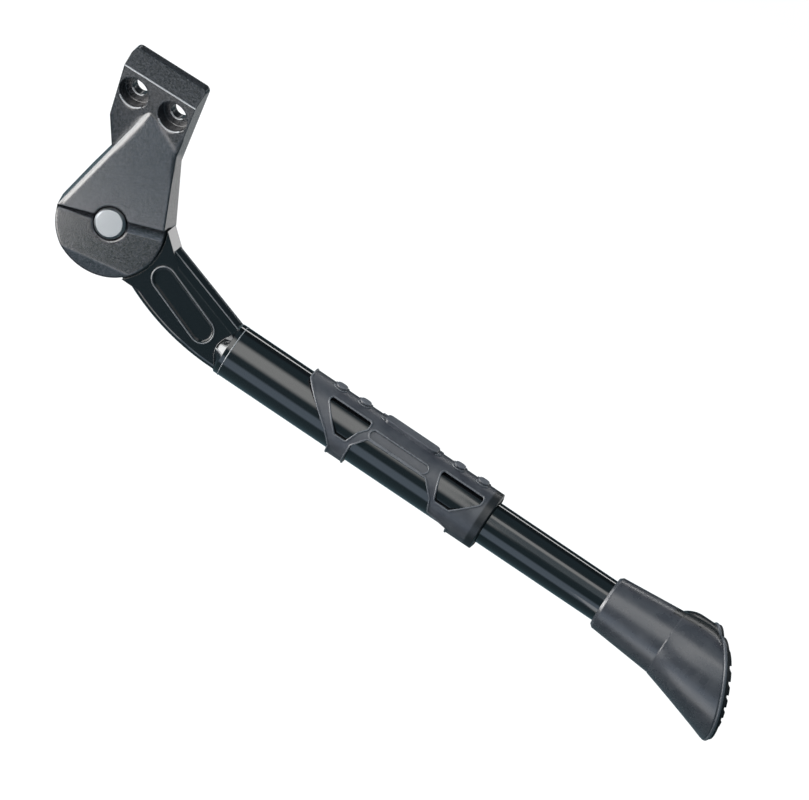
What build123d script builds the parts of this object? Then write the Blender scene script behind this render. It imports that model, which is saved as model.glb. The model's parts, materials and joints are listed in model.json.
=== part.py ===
from build123d import *
import os
from math import cos, radians, sin, sqrt, tan

# Length-adjustable bicycle kickstand with a two-bolt frame mount, leg folded up.
# Frame: origin midway between the two bolts on the mounting face, +X along the bolts towards the
# folded leg, +Y from the outside towards the bicycle, +Z up. Sizes are in millimetres and degrees.

# Frame mount
bolt_spacing = 18.0
bolt_hole_diameter = 6.5
bolt_head_diameter = 13.0
bolt_head_depth = 5.0
plate_thickness = 9.0
plate_half_width = 16.4
plate_top = 15.3
plate_front_top = 9.3
plate_lip = 3.2
plate_waist = 14.8
plate_taper_start = -15.0
plate_lean = 0.9
plate_corner = 2.2

# Pivot: where it is, how its axis leans, and how far the leg swings
pivot_x = 4.2
pivot_y = -12.8
pivot_z = -54.4
pivot_tilt = 22.6
pivot_toe = 8.25
leg_droop = 6.9
swing = 105.0

# Housing, seen along the pivot axis: round cheeks under a wedge that runs up to the plate
housing_turn = 13.1
cheek_radius = 21.8
cheek_thickness = 4.2
crease_height = 2.4
wedge_rise = 7.6
wedge_draft = 5.5
wedge_side_drop = 7.7
wedge_apex_x = 6.5
wedge_apex_y = 49.2
wedge_back_gap = 1.5
toe_turn = -10.0
toe_crease = 16.0
toe_slope = 24.0
wedge_left_round = 1.9
wedge_right_round = 0.9
cheek_step = 0.9
cheek_step_round = 3.0

# Eye of the leg, its pin, bush and washers
eye_radius = 15.5
eye_thickness = 9.0
eye_flat = 14.4
eye_gap = 0.7
pin_diameter = 10.0
pin_head_diameter = 12.5
pin_head_height = 2.6
pin_head_stand = 0.6
pin_head_chamfer = 1.0
pin_head_room = 0.7
bush_wall = 1.5
washer_thickness = 0.7
washer_diameter = 25.0
ring_thickness = 1.2
ring_width = 3.4
groove_depth = 0.7
running_gap = 0.05
press_gap = 0.01
stop_gap = 0.3

# Detent leaf spring in the housing
leaf_thickness = 0.9
leaf_half_length = 9.6
leaf_width = 8.6
leaf_room = 2.3
leaf_end_gap = 0.2
keeper_thickness = 1.0
keeper_margin = 1.0

# Knuckle: the arm from the eye down to the tube
leg_offset = -17.4
knuckle_length = 66.2
shoulder_reach = 22.6
heel_reach = 18.8
arm_shoulder_x = 26.8
arm_shoulder_y = 4.1
arm_heel_x = 19.0
arm_heel_y = -16.6
arm_belly_x = 38.7
arm_belly_y = -23.6
arm_half_thickness = 7.2
arm_clearance = 0.8
arm_edge_bevel = 2.6
arm_edge_round = 2.0
recess_length = 24.8
recess_width = 8.2
recess_depth = 0.6
recess_slope = 15.0
bead_width = 1.1
bead_height = 0.4
bead_round = 0.35
recess_x = 40.8
recess_y = -11.3
recess_angle = -20.8
neck_length = 2.0
neck_inset = 1.9
neck_taper_length = 4.6
neck_root_radius = 6.5
spigot_length = 22.0
spigot_pin_diameter = 4.0
spigot_pin_length = 8.0

# Telescopic tubes and their guides
outer_diameter = 21.8
outer_wall = 1.4
outer_length = 117.0
inner_diameter = 18.0
inner_wall = 1.6
inner_length = 122.0
liner_length = 4.5
liner_flange = 1.5
glide_length = 5.0
glide_plug_length = 8.0

# Length lock: index holes, button and spring
index_count = 7
index_pitch = 11.0
index_setback = 41.0
rest_index = 1
button_lead = 14.0
button_diameter = 6.0
button_stand = 0.8
button_gap = 0.08
button_flange_diameter = 8.8
button_flange_thickness = 1.4
button_flange_top = 5.6
button_spring_thickness = 0.6
button_spring_width = 6.0
button_spring_length = 20.0

# Grip sleeve over the outer tube; stations are from the middle index hole
sleeve_wall = 1.4
sleeve_start = -44.6
sleeve_end = 43.8
sleeve_end_taper = 4.0
sleeve_end_rim = 1.3
sleeve_gap = 0.05
sleeve_shoulder = 10.5
strap_bend = -29.2
strap_start = -24.6
strap_end = -17.3
strap_knee = -7.2
web_start = -12.8
web_end = 14.2
web_edge = 4.0
lower_strap = 19.8
lower_collar = 31.0
belly_edge = -9.0
window_round = 1.2
window_top = 9.6
window_low = -1.8
window_shelf = 6.8
upper_window_start = -35.3
upper_window_end = -14.7
upper_window_toe = -19.6
upper_window_heel = -24.8
lower_window_start = 17.4
lower_window_end = 37.7
lower_window_toe = 28.4
lower_window_heel = 21.6
bar_length = 24.0
bar_width = 9.0
bar_height = 0.6
bar_round = 2.0
pip_places = (-3, -2, 2, 3)
pip_length = 4.6
pip_width = 6.5
pip_height = 0.8
pip_room = 0.7
pip_roof = 0.4
relief_round = 0.4
plaque_length = 27.0
plaque_width = 4.2
plaque_depth = 0.5
plaque_angle = 59.0

# Foot: socket for the inner tube, shoe and sole
socket_depth = 21.4
collar_radius = 11.35
collar_end_radius = 13.9
collar_lip = 0.9
collar_lip_length = 1.2
collar_overrun = 5.3
shoe_lip = 0.2
shoe_waist_length = 9.5
shoe_waist_radius = 15.9
shoe_waist_drop = 0.9
heel_cup_length = 9.0
heel_cup_run = 6.4
heel_cup_radius = 11.6
heel_cup_up = 3.2
heel_cup_back = 7.0
sole_reach = 24.2
sole_half_length = 20.3
sole_half_width = 18.0
sole_shift = 4.6
sole_thickness = 1.7
shoe_rim = 1.2
lug_height = 1.7
lug_width = 3.0
lug_pitch = 5.0
lug_count = 7
lug_margin = 3.6
plug_flange = 2.0
plug_length = 12.0

# Directions and working planes
pivot_axis = Vector(
    sin(radians(pivot_toe)) * cos(radians(pivot_tilt)),
    -cos(radians(pivot_toe)) * cos(radians(pivot_tilt)),
    sin(radians(pivot_tilt)),
)
level = Vector(cos(radians(pivot_toe)), sin(radians(pivot_toe)), 0)
pivot_plane = Plane(origin=(pivot_x, pivot_y, pivot_z), x_dir=level, z_dir=pivot_axis)
pivot_line = Axis(pivot_plane.origin, pivot_axis)
leg_plane = Plane(pivot_plane.origin, x_dir=level.rotate(pivot_line, -leg_droop), z_dir=pivot_axis)
housing_plane = Plane(pivot_plane.origin, x_dir=level.rotate(pivot_line, housing_turn), z_dir=pivot_axis)
housing_line = Axis(housing_plane.origin, housing_plane.x_dir)
tube_origin = leg_plane.from_local_coords(Vector(0, leg_offset, 0))
tube_plane = Plane(origin=tube_origin, x_dir=leg_plane.x_dir, z_dir=leg_plane.z_dir)


def across(station):
    """Plane across the leg at a distance from the pivot; its x points to the ridge side."""
    centre = tube_plane.from_local_coords(Vector(station, 0, 0))
    return Plane(origin=centre, x_dir=tube_plane.y_dir, z_dir=tube_plane.x_dir)


def ridge(station, height=0.0):
    """Plane along the leg that looks out of its ridge side, a height above the tube's axis."""
    centre = tube_plane.from_local_coords(Vector(station, height, 0))
    return Plane(origin=centre, x_dir=tube_plane.x_dir, z_dir=tube_plane.y_dir)


# Sizes that follow from the ones above
pocket_half = eye_thickness / 2 + washer_thickness + 2 * running_gap
cheek_face = pocket_half + cheek_thickness
low_cheek_face = cheek_face - cheek_step
step_foot = crease_height - sqrt(cheek_step_round**2 - (cheek_step_round - cheek_step) ** 2)
toe_low = low_cheek_face - (2 * cheek_radius - toe_crease) * sin(radians(toe_slope))
pocket_radius = eye_radius + eye_gap
outer_radius = outer_diameter / 2
outer_bore = outer_radius - outer_wall
inner_radius = inner_diameter / 2
inner_bore = inner_radius - inner_wall
sleeve_radius = outer_radius + sleeve_gap + sleeve_wall
tube_end = knuckle_length + outer_length
index_centre = tube_end - index_setback
button_station = index_centre + rest_index * index_pitch
inner_start = button_station - button_lead
inner_end = inner_start + inner_length
collar_start = inner_end - socket_depth
collar_end = inner_end + plug_flange + collar_overrun
sole_station = collar_end + sole_reach
crease_half = sqrt(cheek_radius**2 - crease_height**2)
wedge_side_run = 2 * crease_height * (wedge_apex_x + crease_half) / (wedge_apex_y - crease_height)
wedge_spread = 2 * cheek_face * tan(radians(wedge_draft))
bush_radius = pin_diameter / 2 + running_gap + bush_wall
head_bed = cheek_face + pin_head_stand - pin_head_height
turn = housing_turn + leg_droop
slot_half = leaf_half_length + leaf_end_gap
slot_height = leaf_thickness + leaf_room
plaque_facing = tube_plane.y_dir.rotate(Axis((0, 0, 0), tube_plane.x_dir), plaque_angle)
plaque_plane = Plane(
    origin=tube_plane.from_local_coords(Vector(index_centre, 0, 0)),
    x_dir=tube_plane.x_dir,
    z_dir=plaque_facing,
)
spigot_pin_plane = Plane(
    origin=tube_plane.from_local_coords(Vector(knuckle_length + spigot_length / 2, 0, -outer_radius)),
    x_dir=tube_plane.x_dir,
    z_dir=-tube_plane.z_dir,
)
sleeve_plane = Plane(
    origin=tube_plane.from_local_coords(Vector(index_centre, 0, 0)),
    x_dir=tube_plane.x_dir,
    z_dir=tube_plane.z_dir,
)


def wedge_face(height):
    """How far out the wedge's outer face stands, at a height above the pivot."""
    return cheek_face + (height - crease_height) * tan(radians(wedge_rise))


def to_leg(point):
    """The same point of the pivot's plane, from the housing's axes to the leg's."""
    return Vector(*point, 0).rotate(Axis.Z, turn)


# Mounting bracket
housing_side = Plane(origin=housing_plane.origin, x_dir=housing_plane.y_dir, z_dir=housing_plane.x_dir)
toe_side = Plane(
    origin=housing_plane.origin,
    x_dir=housing_plane.y_dir.rotate(pivot_line, toe_turn),
    z_dir=housing_plane.x_dir.rotate(pivot_line, toe_turn),
)
with BuildPart() as mounting_bracket:
    with BuildSketch(housing_plane.offset(-cheek_face)):
        with BuildLine():
            Polyline(
                (-crease_half - wedge_side_run, -crease_height),
                (wedge_apex_x, wedge_apex_y),
                (crease_half - wedge_right_round, wedge_apex_y - wedge_side_drop),
                (crease_half, -crease_height),
                close=True,
            )
        make_face()
        offset(amount=wedge_spread, kind=Kind.INTERSECTION)
    extrude(amount=4 * cheek_face, taper=wedge_draft)
    with BuildSketch(housing_side):
        with BuildLine():
            Polyline(
                (crease_height, -cheek_face),
                (crease_height, cheek_face),
                (wedge_apex_y, wedge_face(wedge_apex_y)),
                (wedge_apex_y, -cheek_face),
                close=True,
            )
        make_face()
    extrude(amount=2 * cheek_radius, both=True, mode=Mode.INTERSECT)
    split(bisect_by=Plane.XZ.offset(wedge_back_gap), keep=Keep.TOP)
    for size, place in ((wedge_left_round, 0), (wedge_right_round, -1)):
        wedge_front = mounting_bracket.faces().sort_by(pivot_line)[-1]
        fillet(wedge_front.edges().sort_by(housing_line)[place], size)
    with BuildSketch(housing_plane.offset(-cheek_face)):
        Circle(cheek_radius)
        with BuildLine():
            Polyline(
                (-2 * cheek_radius, -2 * cheek_radius),
                (2 * cheek_radius, -2 * cheek_radius),
                (2 * cheek_radius, wedge_apex_y),
                (wedge_apex_x, wedge_apex_y),
                (-crease_half, crease_height),
                (-2 * cheek_radius, crease_height),
                close=True,
            )
        make_face(mode=Mode.INTERSECT)
    extrude(amount=2 * cheek_face)
    # The outer cheek lies a step below the wedge, with a hollow round under the crease and a sloped toe
    with BuildSketch(housing_side):
        with BuildLine():
            RadiusArc((crease_height, cheek_face), (step_foot, low_cheek_face), cheek_step_round)
            Polyline(
                (step_foot, low_cheek_face),
                (-2 * cheek_radius, low_cheek_face),
                (-2 * cheek_radius, cheek_face),
                (crease_height, cheek_face),
            )
        make_face()
    extrude(amount=2 * cheek_radius, both=True, mode=Mode.SUBTRACT)
    with BuildSketch(toe_side):
        with BuildLine():
            Polyline(
                (-toe_crease, low_cheek_face),
                (-2 * cheek_radius, low_cheek_face),
                (-2 * cheek_radius, toe_low),
                close=True,
            )
        make_face()
    extrude(amount=2 * cheek_radius, both=True, mode=Mode.SUBTRACT)
    with BuildSketch(Plane.XZ) as plate_outline:
        with BuildLine():
            Polyline(
                (-plate_half_width - plate_lean, plate_top),
                (plate_half_width, plate_top),
                (plate_half_width, 2 * plate_taper_start),
                (wedge_apex_x - plate_waist, 2 * plate_taper_start),
                (-plate_waist, plate_taper_start),
                close=True,
            )
        make_face()
        fillet(plate_outline.vertices().group_by(Axis.Y)[-1], plate_corner)
    extrude(amount=plate_thickness)
    with BuildSketch(Plane.YZ):
        with BuildLine():
            Polyline(
                (-plate_thickness, plate_front_top),
                (-plate_lip, plate_top),
                (-plate_thickness, plate_top),
                close=True,
            )
        make_face()
    extrude(amount=plate_half_width + plate_lean, both=True, mode=Mode.SUBTRACT)
    # Holes and counterbores for the two bolts
    with BuildSketch(Plane.XZ):
        with GridLocations(bolt_spacing, 0, 2, 1):
            Circle(bolt_hole_diameter / 2)
    extrude(amount=plate_thickness, mode=Mode.SUBTRACT)
    with BuildSketch(Plane.XZ.offset(plate_thickness - bolt_head_depth)):
        with GridLocations(bolt_spacing, 0, 2, 1):
            Circle(bolt_head_diameter / 2)
    extrude(amount=2 * plate_thickness, mode=Mode.SUBTRACT)
    # Room for the eye and the swing of the leg, ending in the two stops
    with BuildSketch(housing_plane.offset(-pocket_half)):
        Circle(pocket_radius)
        with Locations((0, crease_height)):
            Rectangle(4 * cheek_radius, 2 * cheek_radius, align=(Align.CENTER, Align.MAX))
    extrude(amount=2 * pocket_half, mode=Mode.SUBTRACT)
    # Slot of the leaf spring, open at the back, and the seat of its keeper
    with BuildSketch(housing_plane.offset(-cheek_face)):
        with Locations((0, eye_flat + running_gap)):
            Rectangle(2 * slot_half, slot_height, align=(Align.CENTER, Align.MIN))
    extrude(amount=cheek_face + leaf_width / 2 + running_gap, mode=Mode.SUBTRACT)
    with BuildSketch(housing_plane.offset(-cheek_face)):
        with Locations((0, eye_flat + running_gap + slot_height / 2)):
            Rectangle(2 * (slot_half + keeper_margin), slot_height + 2 * keeper_margin)
    extrude(amount=keeper_thickness, mode=Mode.SUBTRACT)
    # Bore of the pivot pin and the recess round its head
    with BuildSketch(housing_plane.offset(-cheek_face)):
        Circle(pin_diameter / 2 + press_gap)
    extrude(amount=2 * cheek_face, mode=Mode.SUBTRACT)
    with BuildSketch(housing_plane.offset(head_bed)):
        Circle(pin_head_diameter / 2 + pin_head_room)
    extrude(amount=2 * pin_head_height, mode=Mode.SUBTRACT)
mounting_bracket.part.label = "mounting_bracket"

# Pivot pin, with a headed outer end and a grooved inner end
with BuildPart() as pivot_pin:
    with BuildSketch(housing_plane.offset(head_bed)):
        Circle(pin_head_diameter / 2)
    extrude(amount=pin_head_height)
    chamfer(pivot_pin.faces().sort_by(Axis.Y)[0].edges(), pin_head_chamfer)
    with BuildSketch(housing_plane.offset(head_bed)):
        Circle(pin_diameter / 2)
    extrude(amount=-(head_bed + cheek_face + 2 * ring_thickness + running_gap))
    with BuildSketch(housing_plane.offset(-cheek_face - running_gap)):
        Circle(pin_diameter / 2)
        Circle(pin_diameter / 2 - groove_depth, mode=Mode.SUBTRACT)
    extrude(amount=-ring_thickness - running_gap, mode=Mode.SUBTRACT)
pivot_pin.part.label = "pivot_pin"

with BuildPart() as retaining_ring:
    with BuildSketch(housing_plane.offset(-cheek_face - running_gap)):
        Circle(pin_diameter / 2 - groove_depth + ring_width)
        Circle(pin_diameter / 2 - groove_depth + press_gap, mode=Mode.SUBTRACT)
        with Locations((0, -pin_diameter)):
            Rectangle(pin_diameter / 2, 2 * pin_diameter, mode=Mode.SUBTRACT)
    extrude(amount=-ring_thickness)
retaining_ring.part.label = "retaining_ring"

# Leaf spring on the flat of the eye, and the plate that keeps it in
with BuildPart() as detent_spring:
    with BuildSketch(housing_plane.offset(-leaf_width / 2)):
        with Locations((0, eye_flat + running_gap)):
            Rectangle(2 * leaf_half_length, leaf_thickness, align=(Align.CENTER, Align.MIN))
    extrude(amount=leaf_width)
detent_spring.part.label = "detent_spring"

with BuildPart() as spring_keeper:
    with BuildSketch(housing_plane.offset(-cheek_face)):
        with Locations((0, eye_flat + running_gap + slot_height / 2)):
            RectangleRounded(
                2 * (slot_half + keeper_margin - press_gap),
                slot_height + 2 * (keeper_margin - press_gap),
                keeper_margin / 2,
            )
    extrude(amount=keeper_thickness)
spring_keeper.part.label = "spring_keeper"


def thrust_washer(level_of_face):
    """A washer against one face of the eye, from that face outwards."""
    with BuildPart() as washer:
        with BuildSketch(housing_plane.offset(level_of_face)):
            Circle(washer_diameter / 2)
            Circle(pin_diameter / 2 + running_gap, mode=Mode.SUBTRACT)
        extrude(amount=washer_thickness)
    return washer


outer_thrust_washer = thrust_washer(eye_thickness / 2 + running_gap)
outer_thrust_washer.part.label = "outer_thrust_washer"
inner_thrust_washer = thrust_washer(-eye_thickness / 2 - running_gap - washer_thickness)
inner_thrust_washer.part.label = "inner_thrust_washer"

# Knuckle: eye between the cheeks, arm outside them, neck and spigot for the tube
stop_face = crease_height - stop_gap
folded_root = to_leg((0, stop_face))
folded_stop = to_leg((shoulder_reach, stop_face))
standing_root = to_leg((0, stop_face)).rotate(Axis.Z, swing)
standing_stop = to_leg((-heel_reach, stop_face)).rotate(Axis.Z, swing)
arm_end = knuckle_length - neck_length / 2
arm_end_top = leg_offset + outer_radius - neck_inset
arm_end_bottom = leg_offset - outer_radius + neck_inset

with BuildSketch() as arm_shape:
    with BuildLine():
        Polyline(
            (arm_end, arm_end_bottom),
            (arm_end, arm_end_top),
            (arm_shoulder_x, arm_shoulder_y),
            (folded_stop.X, folded_stop.Y),
            (folded_root.X, folded_root.Y),
            (standing_root.X, standing_root.Y),
            (standing_stop.X, standing_stop.Y),
            (arm_heel_x, arm_heel_y),
        )
        ThreePointArc((arm_heel_x, arm_heel_y), (arm_belly_x, arm_belly_y), (arm_end, arm_end_bottom))
    make_face()


def height_in_leg(edge):
    """Place of an edge's middle across the leg, in the pivot's plane."""
    return leg_plane.to_local_coords(edge.center()).Y


def is_arm_rim(edge):
    """Whether an edge lies on one of the arm's two flat faces."""
    return abs(abs(leg_plane.to_local_coords(edge.center()).Z) - arm_half_thickness) < press_gap


with BuildPart() as leg_knuckle:
    with BuildSketch(leg_plane):
        add(arm_shape.sketch)
        Circle(cheek_radius + arm_clearance, mode=Mode.SUBTRACT)
    extrude(amount=arm_half_thickness, both=True)
    rims = leg_knuckle.edges().filter_by(is_arm_rim)
    upper_rims = rims.filter_by(GeomType.LINE).filter_by(lambda edge: height_in_leg(edge) > recess_y)
    lower_rims = rims.filter_by(GeomType.CIRCLE).filter_by(lambda edge: height_in_leg(edge) < leg_offset)
    chamfer(upper_rims.sort_by(SortBy.LENGTH)[-2:], arm_edge_bevel)
    fillet(lower_rims, arm_edge_round)
    with BuildSketch(leg_plane):
        add(arm_shape.sketch)
    extrude(amount=eye_thickness / 2, both=True)
    with BuildSketch(housing_plane):
        Circle(eye_radius)
        for angle in (90, 90 + swing):
            with PolarLocations(eye_flat, 1, start_angle=angle):
                Rectangle(eye_radius, 2 * eye_radius, align=(Align.MIN, Align.CENTER), mode=Mode.SUBTRACT)
    extrude(amount=eye_thickness / 2, both=True)
    with BuildSketch(across(knuckle_length - neck_length - neck_taper_length)):
        Circle(neck_root_radius)
    with BuildSketch(across(knuckle_length - neck_length)):
        Circle(outer_radius)
    loft()
    with BuildSketch(across(knuckle_length - neck_length)):
        Circle(outer_radius)
    extrude(amount=neck_length)
    with BuildSketch(across(knuckle_length)):
        Circle(outer_bore - press_gap)
    extrude(amount=spigot_length)
    # Long recess in either face, with a round bead along its edge
    for side in (1, -1):
        with BuildSketch(leg_plane.offset(side * arm_half_thickness)):
            with Locations((recess_x, recess_y)):
                SlotCenterToCenter(recess_length, recess_width + 2 * bead_width, rotation=recess_angle)
        extrude(amount=side * bead_height)
        bead_top = leg_knuckle.faces().sort_by(pivot_line)[-1 if side > 0 else 0]
        fillet(bead_top.edges(), bead_round)
        with BuildSketch(leg_plane.offset(side * (arm_half_thickness + bead_height))):
            with Locations((recess_x, recess_y)):
                SlotCenterToCenter(recess_length, recess_width, rotation=recess_angle)
        extrude(amount=-side * (recess_depth + bead_height), taper=recess_slope, mode=Mode.SUBTRACT)
    with BuildSketch(housing_plane):
        Circle(bush_radius + press_gap)
    extrude(amount=eye_thickness, both=True, mode=Mode.SUBTRACT)
    with BuildSketch(spigot_pin_plane):
        Circle(spigot_pin_diameter / 2 + press_gap)
    extrude(amount=-spigot_pin_length, mode=Mode.SUBTRACT)
leg_knuckle.part.label = "leg_knuckle"

with BuildPart() as pivot_bush:
    with BuildSketch(housing_plane):
        Circle(bush_radius)
        Circle(pin_diameter / 2 + running_gap, mode=Mode.SUBTRACT)
    extrude(amount=eye_thickness / 2, both=True)
pivot_bush.part.label = "pivot_bush"

with BuildPart() as spigot_pin:
    with BuildSketch(spigot_pin_plane.offset(-press_gap)):
        Circle(spigot_pin_diameter / 2)
    extrude(amount=-spigot_pin_length + 2 * press_gap)
spigot_pin.part.label = "spigot_pin"

# Outer tube, with the row of index holes along its ridge side
with BuildPart() as outer_tube:
    with BuildSketch(across(knuckle_length)):
        Circle(outer_radius)
        Circle(outer_bore, mode=Mode.SUBTRACT)
    extrude(amount=outer_length)
    with BuildSketch(ridge(index_centre)):
        with GridLocations(index_pitch, 0, index_count, 1):
            Circle(button_diameter / 2 + button_gap)
    extrude(amount=outer_diameter, mode=Mode.SUBTRACT)
    with BuildSketch(spigot_pin_plane):
        Circle(spigot_pin_diameter / 2 + press_gap)
    extrude(amount=-spigot_pin_length, mode=Mode.SUBTRACT)
outer_tube.part.label = "outer_tube"

# Grip sleeve: oblique upper end, two windows and an open belly cut through both sides
with BuildSketch() as upper_end_cut:
    with BuildLine():
        Polyline(
            (2 * sleeve_start, sleeve_shoulder),
            (sleeve_start, sleeve_shoulder),
            (strap_bend, window_low),
            (strap_start, strap_knee),
            (strap_start, -2 * sleeve_radius),
            (2 * sleeve_start, -2 * sleeve_radius),
            close=True,
        )
    make_face()
with BuildSketch() as belly_cut:
    with BuildLine():
        Polyline(
            (strap_end, -2 * sleeve_radius),
            (strap_end, window_low),
            (web_start, web_edge),
            (web_end, web_edge),
            (lower_strap, window_low),
            (lower_window_heel, strap_knee),
            (lower_collar, belly_edge),
            (lower_collar, -2 * sleeve_radius),
            close=True,
        )
    make_face()
    fillet(belly_cut.vertices().group_by(Axis.Y)[-1], window_round)
with BuildSketch() as upper_window:
    with BuildLine():
        Polyline(
            (upper_window_start, window_top),
            (upper_window_end, window_top),
            (upper_window_end, window_shelf),
            (strap_end, web_edge),
            (upper_window_toe, window_low),
            (upper_window_heel, window_low),
            close=True,
        )
    make_face()
    fillet(upper_window.vertices(), window_round)
with BuildSketch() as lower_window:
    with BuildLine():
        Polyline(
            (lower_window_start, window_top),
            (lower_window_end, window_top),
            (lower_window_end, window_shelf),
            (lower_window_toe, window_low),
            (lower_window_heel, window_low),
            close=True,
        )
    make_face()
    fillet(lower_window.vertices(), window_round)

with BuildPart() as grip_sleeve:
    with BuildSketch(across(index_centre + sleeve_start)):
        Circle(sleeve_radius)
    extrude(amount=sleeve_end - sleeve_start)
    chamfer(grip_sleeve.faces().sort_by(Axis.X)[-1].edges(), sleeve_end_rim, sleeve_end_taper)
    with BuildSketch(ridge(index_centre, outer_radius)):
        RectangleRounded(bar_length, bar_width, bar_round)
    extrude(amount=sleeve_radius - outer_radius + bar_height)
    with BuildSketch(ridge(index_centre, outer_radius)):
        for place in pip_places:
            with Locations((place * index_pitch, 0)):
                RectangleRounded(pip_length, pip_width, bar_round)
    extrude(amount=sleeve_radius - outer_radius + pip_height)
    raised_tops = grip_sleeve.faces().filter_by(Plane(tube_plane.origin, z_dir=tube_plane.y_dir))
    fillet(raised_tops.edges(), relief_round)
    with BuildSketch(across(index_centre + sleeve_start)):
        Circle(outer_radius + sleeve_gap)
    extrude(amount=sleeve_end - sleeve_start, mode=Mode.SUBTRACT)
    with BuildSketch(ridge(index_centre)):
        with GridLocations(index_pitch, 0, index_count, 1):
            Circle(button_diameter / 2 + pip_room)
    extrude(amount=outer_radius + button_stand + pip_roof, mode=Mode.SUBTRACT)
    with BuildSketch(sleeve_plane):
        add(upper_end_cut.sketch)
        add(belly_cut.sketch)
        add(upper_window.sketch)
        add(lower_window.sketch)
    extrude(amount=outer_diameter, both=True, mode=Mode.SUBTRACT)
    with BuildSketch(plaque_plane.offset(sleeve_radius)):
        SlotOverall(plaque_length, plaque_width)
    extrude(amount=-plaque_depth, mode=Mode.SUBTRACT)
grip_sleeve.part.label = "grip_sleeve"

# Liner in the mouth of the outer tube, with a flange over the tube's end
with BuildPart() as guide_bush:
    with BuildSketch(across(tube_end)):
        Circle(outer_bore - press_gap)
    extrude(amount=-liner_length)
    with BuildSketch(across(tube_end)):
        Circle(outer_radius)
    extrude(amount=liner_flange)
    with BuildSketch(across(tube_end - liner_length)):
        Circle(inner_radius + running_gap)
    extrude(amount=liner_length + liner_flange, mode=Mode.SUBTRACT)
guide_bush.part.label = "guide_bush"

# Inner tube and the glide on its top
with BuildPart() as inner_tube:
    with BuildSketch(across(inner_start)):
        Circle(inner_radius)
        Circle(inner_bore, mode=Mode.SUBTRACT)
    extrude(amount=inner_length)
    with BuildSketch(ridge(button_station)):
        Circle(button_diameter / 2 + button_gap)
    extrude(amount=inner_diameter, mode=Mode.SUBTRACT)
inner_tube.part.label = "inner_tube"

with BuildPart() as tube_glide:
    with BuildSketch(across(inner_start)):
        Circle(outer_bore - running_gap)
    extrude(amount=-glide_length)
    with BuildSketch(across(inner_start)):
        Circle(inner_bore - press_gap)
    extrude(amount=glide_plug_length)
    with BuildSketch(across(inner_start - glide_length)):
        Circle(inner_bore - inner_wall)
    extrude(amount=glide_length + glide_plug_length, mode=Mode.SUBTRACT)
tube_glide.part.label = "tube_glide"

# Length lock: the button in its index hole and the bent leaf behind it
with BuildPart() as snap_button:
    with BuildSketch(ridge(button_station, button_flange_top - button_flange_thickness)):
        Circle(button_flange_diameter / 2)
    extrude(amount=button_flange_thickness)
    with BuildSketch(ridge(button_station, button_flange_top)):
        Circle(button_diameter / 2)
    extrude(amount=outer_radius + button_stand - button_flange_top)
    fillet(snap_button.faces().sort_by(Axis.Z)[-1].edges(), button_stand)
snap_button.part.label = "snap_button"

spring_top = button_flange_top - button_flange_thickness - running_gap - button_spring_thickness / 2
spring_low = running_gap + button_spring_thickness / 2 - sqrt(inner_bore**2 - button_spring_width**2 / 4)
spring_start = button_station - button_flange_diameter / 2
spring_bend = spring_start + button_spring_length
with BuildPart() as button_spring:
    with BuildSketch(tube_plane):
        with BuildLine():
            Line((spring_start, spring_top), (spring_bend, spring_top))
            ThreePointArc(
                (spring_bend, spring_top),
                (spring_bend + (spring_top - spring_low) / 2, (spring_top + spring_low) / 2),
                (spring_bend, spring_low),
            )
            Line((spring_bend, spring_low), (spring_start, spring_low))
        trace(line_width=button_spring_thickness)
    extrude(amount=button_spring_width / 2, both=True)
button_spring.part.label = "button_spring"

with BuildPart() as end_plug:
    with BuildSketch(across(inner_end)):
        Circle(inner_radius)
    extrude(amount=plug_flange)
    with BuildSketch(across(inner_end)):
        Circle(inner_bore - press_gap)
    extrude(amount=-plug_length)
end_plug.part.label = "end_plug"

# Foot: the sole lies flat on the ground once the leg has swung down
down = Vector(0, 0, -1).rotate(pivot_line, swing)
heel = (tube_plane.y_dir - down * tube_plane.y_dir.dot(down)).normalized()
sole_plane = Plane(
    origin=tube_plane.from_local_coords(Vector(sole_station, 0, 0)) - heel * sole_shift,
    x_dir=heel,
    z_dir=down,
)
sole_line = Axis(sole_plane.origin, down)
cup_half = heel_cup_run / 2
cup_centre = Vector(collar_end + heel_cup_length, heel_cup_up, -heel_cup_back)
cup_plane = Plane(
    origin=tube_plane.from_local_coords(cup_centre),
    x_dir=tube_plane.x_dir,
    z_dir=tube_plane.z_dir,
)
with BuildPart() as foot_shoe:
    with BuildSketch(across(collar_start)):
        Circle(collar_radius)
    with BuildSketch(across(collar_end)):
        Circle(collar_end_radius)
    loft()
    chamfer(foot_shoe.faces().sort_by(Axis.X)[0].edges(), collar_lip_length, collar_lip)
    with BuildSketch(across(collar_end)):
        Circle(collar_end_radius + shoe_lip)
    with BuildSketch(across(collar_end + shoe_waist_length)):
        with Locations((-shoe_waist_drop, 0)):
            Circle(shoe_waist_radius)
    with BuildSketch(sole_plane.offset(-sole_thickness - shoe_rim)):
        Ellipse(sole_half_length, sole_half_width)
    loft()
    # Heel cup, which swells out behind the ridge on the side of the bicycle
    with BuildSketch(cup_plane):
        with BuildLine():
            Polyline((-cup_half, heel_cup_radius), (cup_half, heel_cup_radius))
            JernArc((cup_half, heel_cup_radius), (1, 0), heel_cup_radius, -90)
            Polyline((cup_half + heel_cup_radius, 0), (-cup_half - heel_cup_radius, 0))
            JernArc((-cup_half - heel_cup_radius, 0), (0, 1), heel_cup_radius, -90)
        make_face()
    revolve(axis=Axis(cup_plane.origin, tube_plane.x_dir))
    with BuildSketch(sole_plane.offset(-sole_thickness - shoe_rim)):
        Ellipse(sole_half_length, sole_half_width)
    extrude(amount=shoe_rim)
    split(bisect_by=sole_plane.offset(-sole_thickness), keep=Keep.BOTTOM)
    with BuildSketch(across(collar_start)):
        Circle(inner_radius + press_gap)
    extrude(amount=socket_depth + plug_flange, mode=Mode.SUBTRACT)
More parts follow.
